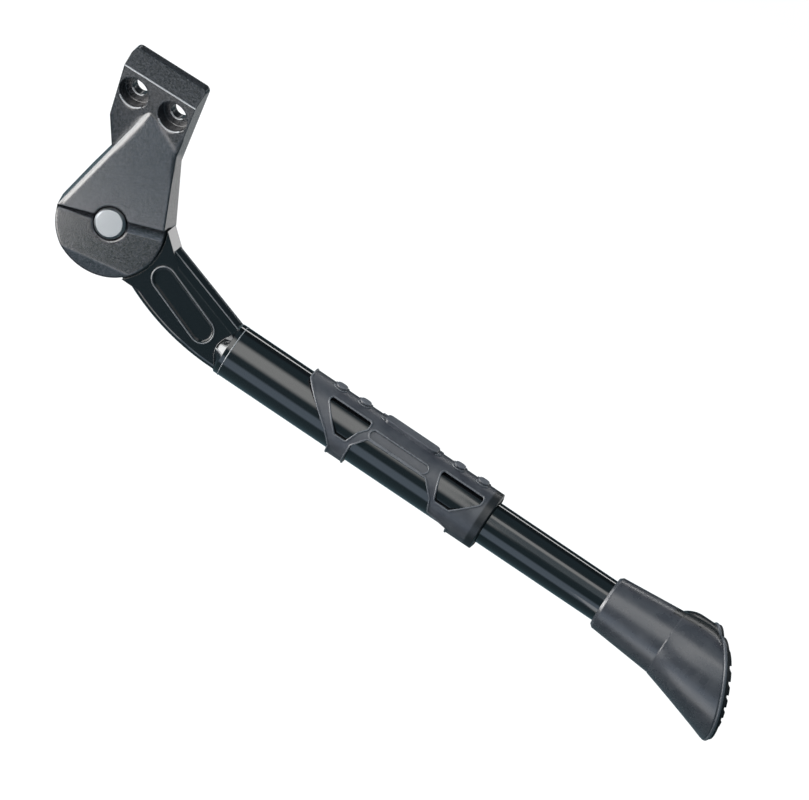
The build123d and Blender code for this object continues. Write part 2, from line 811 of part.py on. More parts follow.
foot_shoe.part.label = "foot_shoe"

with BuildPart() as foot_sole:
    underside = foot_shoe.faces().filter_by(GeomType.PLANE).group_by(sole_line)[-1]
    extrude(underside, amount=sole_thickness, dir=down)
    with BuildSketch(sole_plane):
        Ellipse(sole_half_length - lug_margin, sole_half_width - lug_margin)
        with BuildSketch(mode=Mode.PRIVATE) as lug_rows:
            with GridLocations(lug_pitch, 0, lug_count, 1):
                Rectangle(lug_width, 2 * sole_half_width)
        add(lug_rows.sketch, mode=Mode.INTERSECT)
    extrude(amount=lug_height)
foot_sole.part.label = "foot_sole"

os.makedirs("parts", exist_ok=True)
pieces = (
    mounting_bracket, pivot_pin, retaining_ring, detent_spring, spring_keeper,
    outer_thrust_washer, inner_thrust_washer, leg_knuckle, pivot_bush, spigot_pin,
    outer_tube, grip_sleeve, guide_bush, inner_tube, tube_glide,
    snap_button, button_spring, end_plug, foot_shoe, foot_sole,
)
for piece in pieces:
    export_step(piece.part, f"parts/{piece.part.label}.step")
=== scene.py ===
"""Studio scene of a length-adjustable bicycle kickstand, leg folded up."""

import json
import math

import bmesh
import bpy
from mathutils import Matrix, Vector


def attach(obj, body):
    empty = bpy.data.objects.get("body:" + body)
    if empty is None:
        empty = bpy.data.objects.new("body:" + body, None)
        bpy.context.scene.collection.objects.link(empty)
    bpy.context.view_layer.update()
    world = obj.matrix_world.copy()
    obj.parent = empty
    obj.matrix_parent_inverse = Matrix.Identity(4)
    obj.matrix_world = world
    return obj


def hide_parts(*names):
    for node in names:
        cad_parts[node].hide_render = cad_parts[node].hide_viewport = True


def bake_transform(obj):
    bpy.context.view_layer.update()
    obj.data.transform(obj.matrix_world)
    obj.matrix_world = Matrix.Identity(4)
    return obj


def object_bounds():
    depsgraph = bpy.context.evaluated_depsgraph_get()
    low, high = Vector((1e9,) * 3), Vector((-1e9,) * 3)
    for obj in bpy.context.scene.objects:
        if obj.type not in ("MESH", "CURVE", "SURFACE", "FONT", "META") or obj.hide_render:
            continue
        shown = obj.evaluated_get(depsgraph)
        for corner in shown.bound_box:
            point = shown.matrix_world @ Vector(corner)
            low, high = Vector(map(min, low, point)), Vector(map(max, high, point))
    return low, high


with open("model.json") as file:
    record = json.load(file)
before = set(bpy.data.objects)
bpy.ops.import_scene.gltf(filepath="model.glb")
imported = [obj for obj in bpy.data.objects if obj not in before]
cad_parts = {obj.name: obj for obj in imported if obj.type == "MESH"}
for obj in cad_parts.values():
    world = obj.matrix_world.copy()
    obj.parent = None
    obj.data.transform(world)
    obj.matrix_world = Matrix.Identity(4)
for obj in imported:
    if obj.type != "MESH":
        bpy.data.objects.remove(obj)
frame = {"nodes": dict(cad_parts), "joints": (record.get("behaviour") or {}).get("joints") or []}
nodes = frame["nodes"]
cad_low, cad_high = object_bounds()

# Lengths in millimetres are turned to Blender's metres with this
MM = 0.001

# The photograph's picture plane, as directions in the frame of the part
TO_CAMERA = Vector((0.2093, -0.7660, 0.6078)).normalized()
PICTURE_RIGHT = Vector((0.8257, 0.4712, 0.3095))
PICTURE_RIGHT = (PICTURE_RIGHT - PICTURE_RIGHT.dot(TO_CAMERA) * TO_CAMERA).normalized()
PICTURE_UP = TO_CAMERA.cross(PICTURE_RIGHT)

# The leg: its own direction, the side of it that carries the sleeve's ridge, and the axis of its tubes
swing, slide = frame["joints"][:2]
LEG = Vector(slide["axis"]).normalized()
PIVOT_AXIS = Vector(swing["axis"]).normalized()
PIVOT = Vector(swing["pos_m"])
RIDGE = PIVOT_AXIS.cross(LEG)
LEG_OFFSET = -17.4 * MM
AXIS_POINT = PIVOT + RIDGE * LEG_OFFSET

# In the picture the leg runs down to the right; this is square to it, up to the right
PICTURE_LEG = (LEG - LEG.dot(TO_CAMERA) * TO_CAMERA).normalized()
PICTURE_SIDE = TO_CAMERA.cross(PICTURE_LEG)

# The crease across the housing lies just above the pivot, on a line turned from the leg
HOUSING_TURN = math.radians(20.0)
HOUSING_UP = Matrix.Rotation(HOUSING_TURN, 3, PIVOT_AXIS) @ RIDGE
HOUSING_ACROSS = HOUSING_UP.cross(PIVOT_AXIS)
CREASE = PIVOT.dot(HOUSING_UP) + 2.4 * MM
MIDDLE = PIVOT.dot(HOUSING_ACROSS)

# Under the crease the housing's front is hollow, in a band that widens to the right
HOLLOW_ENDS = (MIDDLE - 21 * MM, MIDDLE + 8 * MM)
HOLLOW_WIDTHS = (1.0 * MM, 4.6 * MM)
HOLLOW_DEPTH = 2.0 * MM
HOLLOW_CURVE = 1.2

# The housing's edges are rounded most along the wedge, between these heights
CHEEK_TO_WEDGE = (-26 * MM, -21 * MM)
WEDGE_TO_PLATE = (-9 * MM, -6 * MM)
CHEEK_ROUND = 1.3 * MM
WEDGE_ROUND = 3.0 * MM
PLATE_ROUND = 0.7 * MM

# Sizes of what the finishes show: the coating's grain, specks, clouds and streaks, haze and bloom
COAT_GRAIN = 0.6 * MM
COAT_SPECK = 0.8 * MM
COAT_CLOUD = 9 * MM
STREAK_WIDTH = 0.8 * MM
STREAK_LENGTH = 14 * MM
LACQUER_HAZE = 12 * MM
RUBBER_BLOOM = 7 * MM

# The sole faces the ground once the leg has swung down
SWING = math.radians(105)
SOLE_FACING = Matrix.Rotation(SWING, 3, PIVOT_AXIS) @ Vector((0, 0, -1))

# Sleeve and shoe: how far off the axis their walls stand, and where along the leg things begin
SLEEVE_RADIUS = 12.35 * MM
BAR_RISE = 12.6 * MM
TAPER_LENGTH = 4.0 * MM
HEEL_RISE = 11.5 * MM
HEEL_START = 264 * MM
HEEL_SIDE = -5.5 * MM
TINT_FADE = 0.7 * MM

# The arm: the way its top wall faces, and the middle line of the long recess with the bead's crest round it
ARM_WALL = Vector((0.37, 0.41, 0.84)).normalized()
ARM_WALL_LENGTH = 20 * MM
RECESS_TURN = math.radians(-20.8)
RECESS_LINE = math.cos(RECESS_TURN) * LEG + math.sin(RECESS_TURN) * RIDGE
RECESS_MIDDLE = PIVOT + 40.8 * MM * LEG - 11.3 * MM * RIDGE
RECESS_LENGTH = 24.8 * MM
BEAD_REACH = 4.85 * MM

# Meshes: corners closer than this are one, and points this near a wall lie on it
WELD = 0.002 * MM
ON_WALL = 0.06 * MM

# The angle past which the hairpin spring's edges stay sharp
HAIRPIN_CREASE = math.radians(25)


def linear(code):
    """An sRGB hex colour as linear red, green, blue and alpha."""
    parts = [int(code[i : i + 2], 16) / 255 for i in (1, 3, 5)]
    return [p / 12.92 if p <= 0.04045 else ((p + 0.055) / 1.055) ** 2.4 for p in parts] + [1.0]


def add(tree, kind, settings=None, **inputs):
    """Adds a node; inputs are values or sockets, named with _ for a space, or by number as _0."""
    made = tree.nodes.new(kind)
    for name, value in (settings or {}).items():
        setattr(made, name, value)
    for name, value in inputs.items():
        numbered = name[1:].isdigit()
        socket = made.inputs[int(name[1:])] if numbered else made.inputs[name.replace("_", " ")]
        if isinstance(value, bpy.types.NodeSocket):
            tree.links.new(value, socket)
        else:
            socket.default_value = value
    return made


def new_material(name):
    """An empty node material and its output node."""
    material = bpy.data.materials.new(name)
    material.use_nodes = True
    tree = material.node_tree
    tree.nodes.clear()
    return material, tree, tree.nodes.new("ShaderNodeOutputMaterial")


def satin_coated_casting():
    """Die-cast aluminium under satin black powder, brushed on the plate's top slope before it was coated.

    To the eye: a fine grain with dark specks, a soft sheen, and streaks along the slope.
    """
    material, tree, output = new_material("satin_coated_casting")
    place = add(tree, "ShaderNodeTexCoord").outputs["Object"]
    normal = add(tree, "ShaderNodeNewGeometry").outputs["True Normal"]
    # Grain all over, but on the top slope streaks that run from its front to its back
    grain = add(tree, "ShaderNodeTexNoise", Vector=place, Scale=1 / COAT_GRAIN, Detail=3.0, Roughness=0.6)
    spread = add(
        tree, "ShaderNodeMapping", Vector=place,
        Scale=(1 / STREAK_WIDTH, 1 / STREAK_LENGTH, 1 / STREAK_LENGTH),
    )
    streak = add(
        tree, "ShaderNodeTexNoise", Vector=spread.outputs[0], Scale=1.0, Detail=3.0, Roughness=0.7
    )
    facing = add(tree, "ShaderNodeSeparateXYZ", Vector=normal)
    slope = add(tree, "ShaderNodeMapRange", Value=facing.outputs["Z"], From_Min=0.55, From_Max=0.65)
    height = add(tree, "ShaderNodeMix", _0=slope.outputs[0], _2=grain.outputs[0], _3=streak.outputs[0])
    # The wedge runs out into the plate above it in a soft blend
    level = add(tree, "ShaderNodeSeparateXYZ", Vector=place).outputs["Z"]
    below = add(
        tree, "ShaderNodeMapRange", Value=level, From_Min=CHEEK_TO_WEDGE[0], From_Max=CHEEK_TO_WEDGE[1],
        To_Min=CHEEK_ROUND, To_Max=WEDGE_ROUND,
    )
    above = add(
        tree, "ShaderNodeMapRange", Value=level, From_Min=WEDGE_TO_PLATE[0], From_Max=WEDGE_TO_PLATE[1],
        To_Min=WEDGE_ROUND, To_Max=PLATE_ROUND,
    )
    softness = add(
        tree, "ShaderNodeMath", {"operation": "MINIMUM"}, _0=below.outputs[0], _1=above.outputs[0]
    )
    rounded = add(tree, "ShaderNodeBevel", {"samples": 8}, Radius=softness.outputs[0])
    # Under the crease the front turns in softly
    upward = add(tree, "ShaderNodeVectorMath", {"operation": "DOT_PRODUCT"}, _0=place, _1=HOUSING_UP)
    across = add(tree, "ShaderNodeVectorMath", {"operation": "DOT_PRODUCT"}, _0=place, _1=HOUSING_ACROSS)
    outward = add(tree, "ShaderNodeVectorMath", {"operation": "DOT_PRODUCT"}, _0=normal, _1=PIVOT_AXIS)
    width = add(
        tree, "ShaderNodeMapRange", Value=across.outputs["Value"],
        From_Min=HOLLOW_ENDS[0], From_Max=HOLLOW_ENDS[1], To_Min=HOLLOW_WIDTHS[0], To_Max=HOLLOW_WIDTHS[1],
    )
    start = add(tree, "ShaderNodeMath", {"operation": "SUBTRACT"}, _0=CREASE, _1=width.outputs[0])
    climb = add(
        tree, "ShaderNodeMapRange", Value=upward.outputs["Value"],
        From_Min=start.outputs[0], From_Max=CREASE,
    )
    front = add(tree, "ShaderNodeMapRange", Value=outward.outputs["Value"], From_Min=0.5, From_Max=0.55)
    curve = add(tree, "ShaderNodeMath", {"operation": "POWER"}, _0=climb.outputs[0], _1=HOLLOW_CURVE)
    hollow = add(
        tree, "ShaderNodeMath", {"operation": "MULTIPLY"}, _0=curve.outputs[0], _1=front.outputs[0]
    )
    turned = add(
        tree, "ShaderNodeBump", Strength=1.0, Distance=HOLLOW_DEPTH, Height=hollow.outputs[0],
        Normal=rounded.outputs[0],
    )
    bump = add(
        tree, "ShaderNodeBump", Strength=0.6, Distance=0.08 * MM, Height=height.outputs[0],
        Normal=turned.outputs[0],
    )
    # A cloudy black with dark specks
    cloud = add(tree, "ShaderNodeTexNoise", Vector=place, Scale=1 / COAT_CLOUD, Detail=4.0, Roughness=0.55)
    dust = add(tree, "ShaderNodeTexNoise", Vector=place, Scale=1 / COAT_SPECK, Detail=2.0, Roughness=0.6)
    speck = add(tree, "ShaderNodeMapRange", Value=dust.outputs[0], From_Min=0.38, From_Max=0.62)
    body = add(
        tree, "ShaderNodeMix", {"data_type": "RGBA"},
        _0=cloud.outputs[0], _6=linear("#25262a"), _7=linear("#303135"),
    )
    colour = add(
        tree, "ShaderNodeMix", {"data_type": "RGBA"},
        _0=speck.outputs[0], _6=linear("#0b0c0d"), _7=body.outputs[2],
    )
    rough = add(
        tree, "ShaderNodeMapRange", Value=grain.outputs[0], From_Min=0.3, From_Max=0.7,
        To_Min=0.18, To_Max=0.27,
    )
    coat = add(
        tree, "ShaderNodeBsdfPrincipled", Base_Color=colour.outputs[2], Roughness=rough.outputs[0],
        Normal=bump.outputs[0], Specular_IOR_Level=1.0,
    )
    tree.links.new(coat.outputs[0], output.inputs[0])
    return material


def gloss_lacquer(name, tint, wave_mm, waviness, roughness, edge_mm):
    """Black stoved lacquer on aluminium. To the eye: deep and glossy, with a faint orange peel."""
    material, tree, output = new_material(name)
    place = add(tree, "ShaderNodeTexCoord").outputs["Object"]
    peel = add(tree, "ShaderNodeTexNoise", Vector=place, Scale=1 / (wave_mm * MM), Detail=2.0)
    haze = add(tree, "ShaderNodeTexNoise", Vector=place, Scale=1 / LACQUER_HAZE, Detail=5.0, Roughness=0.6)
    rounded = add(tree, "ShaderNodeBevel", {"samples": 6}, Radius=edge_mm * MM)
    bump = add(
        tree, "ShaderNodeBump", Strength=waviness, Distance=0.05 * MM, Height=peel.outputs[0],
        Normal=rounded.outputs[0],
    )
    rough = add(
        tree, "ShaderNodeMapRange", Value=haze.outputs[0], From_Min=0.3, From_Max=0.7,
        To_Min=roughness * 0.8, To_Max=roughness * 1.25,
    )
    lacquer = add(
        tree, "ShaderNodeBsdfPrincipled", Base_Color=linear(tint), Roughness=rough.outputs[0],
        Normal=bump.outputs[0], Coat_Weight=1.0, Coat_Roughness=0.05, Coat_Normal=bump.outputs[0],
    )
    tree.links.new(lacquer.outputs[0], output.inputs[0])
    return material


def moulded_rubber(name, tint, light_tint, grain_mm, roughness, edge_mm, sheen):
    """Black rubber or plastic from a spark-eroded mould. To the eye: dull and patchy, with soft edges.

    The real grain is too fine to show, so it is drawn a few times coarser.
    """
    material, tree, output = new_material(name)
    place = add(tree, "ShaderNodeTexCoord").outputs["Object"]
    grain = add(
        tree, "ShaderNodeTexNoise", Vector=place, Scale=1 / (grain_mm * MM), Detail=2.0, Roughness=0.6
    )
    bloom = add(tree, "ShaderNodeTexNoise", Vector=place, Scale=1 / RUBBER_BLOOM, Detail=4.0, Roughness=0.6)
    rounded = add(tree, "ShaderNodeBevel", {"samples": 6}, Radius=edge_mm * MM)
    bump = add(
        tree, "ShaderNodeBump", Strength=0.18, Distance=0.05 * MM, Height=grain.outputs[0],
        Normal=rounded.outputs[0],
    )
    patches = add(tree, "ShaderNodeMapRange", Value=bloom.outputs[0], From_Min=0.3, From_Max=0.7)
    colour = add(
        tree, "ShaderNodeMix", {"data_type": "RGBA"},
        _0=patches.outputs[0], _6=linear(tint), _7=linear(light_tint),
    )
    rough = add(
        tree, "ShaderNodeMapRange", Value=bloom.outputs[0], From_Min=0.3, From_Max=0.7,
        To_Min=roughness - 0.06, To_Max=roughness + 0.06,
    )
    rubber = add(
        tree, "ShaderNodeBsdfPrincipled", Base_Color=colour.outputs[2], Roughness=rough.outputs[0],
        Normal=bump.outputs[0], Specular_IOR_Level=sheen,
    )
    tree.links.new(rubber.outputs[0], output.inputs[0])
    return material


def plain_metal(name, tint, roughness, grain_mm):
    """Bare or plated metal, tumbled. To the eye: a dull shine with a fine grain.

    The real grain is too fine to show, so it is drawn coarser.
    """
    material, tree, output = new_material(name)
    place = add(tree, "ShaderNodeTexCoord").outputs["Object"]
    grain = add(
        tree, "ShaderNodeTexNoise", Vector=place, Scale=1 / (grain_mm * MM), Detail=4.0, Roughness=0.65
    )
    rounded = add(tree, "ShaderNodeBevel", {"samples": 6}, Radius=0.25 * MM)
    bump = add(
        tree, "ShaderNodeBump", Strength=0.12, Distance=0.04 * MM, Height=grain.outputs[0],
        Normal=rounded.outputs[0],
    )
    rough = add(
        tree, "ShaderNodeMapRange", Value=grain.outputs[0], From_Min=0.3, From_Max=0.7,
        To_Min=roughness - 0.05, To_Max=roughness + 0.08,
    )
    metal = add(
        tree, "ShaderNodeBsdfPrincipled", Base_Color=linear(tint), Metallic=1.0,
        Roughness=rough.outputs[0], Normal=bump.outputs[0],
    )
    tree.links.new(metal.outputs[0], output.inputs[0])
    return material


def change_mix_past(material, tint, *limits):
    """Gives a rubber another tint past every limit: a direction and a distance along it from the axis."""
    tree = material.node_tree
    place = add(tree, "ShaderNodeTexCoord").outputs["Object"]
    share = 1.0
    for direction, start in limits:
        along = add(tree, "ShaderNodeVectorMath", {"operation": "DOT_PRODUCT"}, _0=place, _1=direction)
        begin = AXIS_POINT.dot(direction) + start
        past = add(
            tree, "ShaderNodeMapRange", Value=along.outputs["Value"],
            From_Min=begin, From_Max=begin + TINT_FADE,
        )
        both = add(tree, "ShaderNodeMath", {"operation": "MULTIPLY"}, _0=share, _1=past.outputs[0])
        share = both.outputs[0]
    skin = tree.nodes["Principled BSDF"].inputs["Base Color"]
    mixed = add(
        tree, "ShaderNodeMix", {"data_type": "RGBA"},
        _0=share, _6=skin.links[0].from_socket, _7=linear(tint),
    )
    tree.links.new(mixed.outputs[2], skin)


def into_scene(name, data):
    """A new object in the scene that holds a mesh, a lamp or a camera."""
    holder = bpy.data.objects.new(name, data)
    bpy.context.scene.collection.objects.link(holder)
    return holder


def placement(point, right, up, back):
    """A placement at a point, with its own axes along three directions."""
    return Matrix.Translation(point) @ Matrix((right, up, back)).transposed().to_4x4()


def along_leg(place):
    """Distance of a point down the leg from the pivot."""
    return (place - AXIS_POINT).dot(LEG)


def off_axis(place):
    """Distance of a point from the axis of the tubes."""
    reach = place - AXIS_POINT
    return (reach - reach.dot(LEG) * LEG).length


def from_recess(place):
    """Distance of a point from the middle line of the long recess, seen along the pivot."""
    reach = place - RECESS_MIDDLE
    lengthways, across = reach.dot(RECESS_LINE), reach.dot(PIVOT_AXIS.cross(RECESS_LINE))
    return math.hypot(max(abs(lengthways) - RECESS_LENGTH / 2, 0.0), across)


TAPER_START = max(along_leg(v.co) for v in nodes["grip_sleeve"].data.vertices) - TAPER_LENGTH
TUBE_START = min(along_leg(v.co) for v in nodes["outer_tube"].data.vertices)
TUBE_RADIUS = max(off_axis(v.co) for v in nodes["outer_tube"].data.vertices)


def sharper_than(edge, degrees):
    """Whether an edge turns by more than an angle."""
    return edge.calc_face_angle() > math.radians(degrees)


def on_sleeve_rim(edge):
    """Whether an edge bounds the sleeve's outer wall above its tapered end."""
    return sharper_than(edge, 45) and all(
        abs(off_axis(v.co) - SLEEVE_RADIUS) < ON_WALL and along_leg(v.co) < TAPER_START
        for v in edge.verts
    )


def on_shoe_rim(edge):
    """Whether an edge goes round the shoe's underside."""
    return sum(face.normal.dot(SOLE_FACING) > 0.999 for face in edge.link_faces) == 1


def on_plate_edge(edge):
    """Whether an edge lies between the plate's front and its top slope."""
    fronts = sum(face.normal.y < -0.999 for face in edge.link_faces)
    slopes = sum(face.normal.y > -0.8 and face.normal.z > 0.6 for face in edge.link_faces)
    return fronts == 1 and slopes == 1


def on_arm_ridge(edge):
    """Whether an edge bounds the wall along the top of the arm."""
    walls = sum(face.normal.dot(ARM_WALL) > 0.985 for face in edge.link_faces)
    return walls == 1 and edge.calc_length() > ARM_WALL_LENGTH and sharper_than(edge, 30)


def on_recess_rim(edge):
    """Whether an edge goes along the bead round the long recess in the arm's face."""
    return sharper_than(edge, 3) and all(
        abs(from_recess(v.co) - BEAD_REACH) < ON_WALL for v in edge.verts
    )


def on_tube_end(edge):
    """Whether an edge goes round the outside of the outer tube's upper end."""
    return sharper_than(edge, 30) and all(
        along_leg(v.co) < TUBE_START + 0.3 * MM and off_axis(v.co) > TUBE_RADIUS - 0.5 * MM
        for v in edge.verts
    )


def edge_lines(name, node, keep):
    """The outward edges of a CAD node that a test keeps, as a mesh of lines only."""
    work = bmesh.new()
    work.from_mesh(nodes[node].data)
    bmesh.ops.remove_doubles(work, verts=work.verts, dist=WELD)
    points, lines, index = [], [], {}
    for edge in work.edges:
        if len(edge.link_faces) != 2 or not edge.is_convex or not keep(edge):
            continue
        ends = []
        for vert in edge.verts:
            if vert.index not in index:
                index[vert.index] = len(points)
                points.append(vert.co.copy())
            ends.append(index[vert.index])
        lines.append(ends)
    work.free()
    mesh = bpy.data.meshes.new(name)
    mesh.from_pydata(points, lines, [])
    return mesh


def merged_copy(node, name, crease):
    """A copy of a CAD node with its corners joined and its edges sharp past a crease angle."""
    mesh = nodes[node].data.copy()
    mesh.name = name
    work = bmesh.new()
    work.from_mesh(mesh)
    bmesh.ops.remove_doubles(work, verts=work.verts, dist=WELD)
    for face in work.faces:
        face.smooth = True
    work.to_mesh(mesh)
    work.free()
    mesh.set_sharp_from_angle(angle=crease)
    return into_scene(name, mesh)


def beaded(mesh, bead_radius, finish):
    """A round bead along a mesh of lines, made with Geometry Nodes and turned to a plain mesh."""
    group = bpy.data.node_groups.new(mesh.name + "_bead", "GeometryNodeTree")
    group.interface.new_socket("Lines", in_out="INPUT", socket_type="NodeSocketGeometry")
    radius = group.interface.new_socket("Bead radius", in_out="INPUT", socket_type="NodeSocketFloat")
    group.interface.new_socket("Bead", in_out="OUTPUT", socket_type="NodeSocketGeometry")
    entry = group.nodes.new("NodeGroupInput")
    path = add(group, "GeometryNodeMeshToCurve", Mesh=entry.outputs["Lines"])
    ring = add(
        group, "GeometryNodeCurvePrimitiveCircle", Resolution=8, Radius=entry.outputs["Bead radius"]
    )
    tube = add(
        group, "GeometryNodeCurveToMesh", Curve=path.outputs[0], _1=ring.outputs[0], Fill_Caps=True
    )
    smooth = add(group, "GeometryNodeSetShadeSmooth", Geometry=tube.outputs[0])
    whole = add(group, "GeometryNodeRealizeInstances", Geometry=smooth.outputs[0])
    painted = add(group, "GeometryNodeSetMaterial", Geometry=whole.outputs[0], Material=finish)
    add(group, "NodeGroupOutput", Bead=painted.outputs[0])
    holder = into_scene(mesh.name, mesh)
    modifier = holder.modifiers.new("bead", "NODES")
    modifier.node_group = group
    modifier[radius.identifier] = bead_radius
    depsgraph = bpy.context.evaluated_depsgraph_get()
    plain = bpy.data.meshes.new_from_object(holder.evaluated_get(depsgraph))
    holder.modifiers.clear()
    holder.data = plain
    return holder


casting = satin_coated_casting()
knuckle_lacquer = gloss_lacquer(
    "lacquered_casting", "#090b0d", wave_mm=3.0, waviness=0.03, roughness=0.09, edge_mm=0.25
)
tube_lacquer = gloss_lacquer(
    "lacquered_tube", "#0b0d0f", wave_mm=2.0, waviness=0.03, roughness=0.12, edge_mm=0.4
)
sleeve_rubber = moulded_rubber(
    "sleeve_rubber", "#313238", "#46474b", grain_mm=0.35, roughness=0.36, edge_mm=0.4, sheen=0.6
)
foot_rubber = moulded_rubber(
    "foot_rubber", "#343439", "#404044", grain_mm=0.4, roughness=0.28, edge_mm=0.6, sheen=0.9
)
# A lighter rubber for the rim beads: a painted highlight along the rims
painted_highlight_rubber = moulded_rubber(
    "rubber_with_painted_highlight", "#48494e", "#54565a", grain_mm=0.35, roughness=0.28, edge_mm=0.2, sheen=0.8
)
tread_rubber = moulded_rubber(
    "tread_rubber", "#121315", "#18191b", grain_mm=0.4, roughness=0.5, edge_mm=0.4, sheen=0.4
)
zinc = plain_metal("zinc_plated_steel", "#909396", roughness=0.36, grain_mm=0.6)
spring_steel = plain_metal("oiled_spring_steel", "#77787b", roughness=0.35, grain_mm=0.4)
bronze = plain_metal("sintered_bronze", "#a98a55", roughness=0.45, grain_mm=0.2)
# A light grey lacquer for edge beads: a painted highlight line along the edge
painted_highlight_lacquer = gloss_lacquer(
    "lacquer_with_painted_highlight", "#787a7d", wave_mm=2.0, waviness=0.02, roughness=0.3, edge_mm=0.05
)
# A mid grey lacquer for the arm's beads: a fainter painted highlight line
painted_soft_highlight_lacquer = gloss_lacquer(
    "lacquer_with_painted_soft_highlight", "#47494c", wave_mm=2.0, waviness=0.02, roughness=0.24, edge_mm=0.05
)
bearing_plastic = moulded_rubber(
    "acetal_black", "#161617", "#1b1b1c", grain_mm=0.5, roughness=0.38, edge_mm=0.3, sheen=0.5
)

FINISHES = {
    "mounting_bracket": casting,
    "pivot_pin": zinc,
    "retaining_ring": spring_steel,
    "detent_spring": spring_steel,
    "spring_keeper": spring_steel,
    "outer_thrust_washer": bearing_plastic,
    "inner_thrust_washer": bearing_plastic,
    "leg_knuckle": knuckle_lacquer,
    "pivot_bush": bronze,
    "spigot_pin": spring_steel,
    "outer_tube": tube_lacquer,
    "grip_sleeve": sleeve_rubber,
    "guide_bush": bearing_plastic,
    "inner_tube": tube_lacquer,
    "tube_glide": bearing_plastic,
    "snap_button": zinc,
    "button_spring": spring_steel,
    "end_plug": bearing_plastic,
    "foot_shoe": foot_rubber,
    "foot_sole": tread_rubber,
}
for name, finish in FINISHES.items():
    nodes[name].data.materials.clear()
    nodes[name].data.materials.append(finish)

# The sleeve's bar gets a painted highlight as a lighter tint and its tapered end painted shade as a darker
# one; the shoe's heel cup is tinted as dark as the tread
change_mix_past(sleeve_rubber, "#66676c", (RIDGE, BAR_RISE))
change_mix_past(sleeve_rubber, "#17181a", (LEG, TAPER_START))
change_mix_past(
    foot_rubber, "#121314", (RIDGE, HEEL_RISE), (LEG, HEEL_START), (-PIVOT_AXIS, HEEL_SIDE)
)

# The hairpin spring as a merged copy with edges sharp past a crease angle, in place of the CAD node
hairpin = merged_copy("button_spring", "hairpin_spring", HAIRPIN_CREASE)
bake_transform(hairpin)
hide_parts("button_spring")

# Fine beads along edges that show a light line; their lighter finishes are a painted highlight
sleeve_rims = beaded(edge_lines("sleeve_rims", "grip_sleeve", on_sleeve_rim), 0.42 * MM, painted_highlight_rubber)
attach(sleeve_rims, "leg")
shoe_rim = beaded(edge_lines("shoe_rim", "foot_shoe", on_shoe_rim), 0.75 * MM, painted_highlight_rubber)
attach(shoe_rim, "lower_leg")
tube_end = beaded(edge_lines("tube_end", "outer_tube", on_tube_end), 0.22 * MM, painted_highlight_lacquer)
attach(tube_end, "leg")
plate_edge = beaded(edge_lines("plate_edge", "mounting_bracket", on_plate_edge), 0.35 * MM, painted_highlight_lacquer)
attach(plate_edge, "bracket")
arm_ridges = beaded(edge_lines("arm_ridges", "leg_knuckle", on_arm_ridge), 0.3 * MM, painted_soft_highlight_lacquer)
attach(arm_ridges, "leg")
recess_rims = beaded(edge_lines("recess_rims", "leg_knuckle", on_recess_rim), 0.3 * MM, painted_soft_highlight_lacquer)
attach(recess_rims, "leg")

# Camera: a long lens from the photograph's side, aimed at the middle of its picture
PICTURE_WIDTH = 809
PICTURE_HEIGHT = 800
PIXELS_PER_METRE = 2597.0
HOLES_PIXEL = (153.1, 105.0)
HOLES_POINT = Vector((0, -9 * MM, 0))
CAMERA_DISTANCE = 7.0
SENSOR_WIDTH = 36.0
aim = (
    HOLES_POINT
    + PICTURE_RIGHT * ((PICTURE_WIDTH / 2 - HOLES_PIXEL[0]) / PIXELS_PER_METRE)
    - PICTURE_UP * ((PICTURE_HEIGHT / 2 - HOLES_PIXEL[1]) / PIXELS_PER_METRE)
)
aim -= TO_CAMERA * (aim - HOLES_POINT).dot(TO_CAMERA)
camera_data = bpy.data.cameras.new("studio_camera")
camera_data.sensor_fit = "HORIZONTAL"
camera_data.sensor_width = SENSOR_WIDTH
camera_data.lens = SENSOR_WIDTH * CAMERA_DISTANCE * PIXELS_PER_METRE / PICTURE_WIDTH
camera = into_scene("studio_camera", camera_data)
camera.matrix_world = placement(
    aim + TO_CAMERA * CAMERA_DISTANCE, PICTURE_RIGHT, PICTURE_UP, TO_CAMERA
)
bpy.context.scene.camera = camera


def fade_sides(lamp, share):
    """Lets a lamp fade to nothing over a share of its width at each long side."""
    lamp.use_nodes = True
    tree = lamp.node_tree
    spot = add(tree, "ShaderNodeNewGeometry").outputs["Parametric"]
    across = add(tree, "ShaderNodeSeparateXYZ", Vector=spot).outputs["Y"]
    from_middle = add(tree, "ShaderNodeMath", {"operation": "SUBTRACT"}, _0=across, _1=0.5)
    off_middle = add(tree, "ShaderNodeMath", {"operation": "ABSOLUTE"}, _0=from_middle.outputs[0])
    fade = add(
        tree, "ShaderNodeMapRange", {"interpolation_type": "SMOOTHSTEP"}, Value=off_middle.outputs[0],
        From_Min=0.5 - share, From_Max=0.5, To_Min=1.0, To_Max=0.0,
    )
    tree.links.new(fade.outputs[0], tree.nodes["Emission"].inputs["Strength"])


def softbox(
    name, facing, along, width, length, brightness, tint,
    shift=0.0, target=aim, distance=1.0, mirrored=True, soft=0.0,
):
    """A lamp off in a direction from its target, its length along another, unseen by the camera.

    soft is the share of its width over which each long side fades; the lamp grows so that the
    middle of each fade lies where the side would be.
    """
    facing = facing.normalized()
    along = (along - along.dot(facing) * facing).normalized()
    width /= 1 - soft
    lamp = bpy.data.lights.new(name, "AREA")
    lamp.shape = "RECTANGLE"
    lamp.size = length
    lamp.size_y = width
    lamp.energy = brightness * math.pi * width * length
    lamp.color = linear(tint)[:3]
    if soft:
        fade_sides(lamp, soft)
    holder = into_scene(name, lamp)
    holder.matrix_world = placement(
        target + facing * distance + along * shift, along, facing.cross(along), facing
    )
    holder.visible_camera = False
    holder.visible_glossy = mirrored


def towards_side(angle):
    """A direction turned from the camera towards the upper right of the picture."""
    turn = math.radians(angle)
    return TO_CAMERA * math.cos(turn) + PICTURE_SIDE * math.sin(turn)


UPRIGHT = Vector((0, 0, 1))
TOE = AXIS_POINT + 285 * MM * LEG - 20 * MM * RIDGE

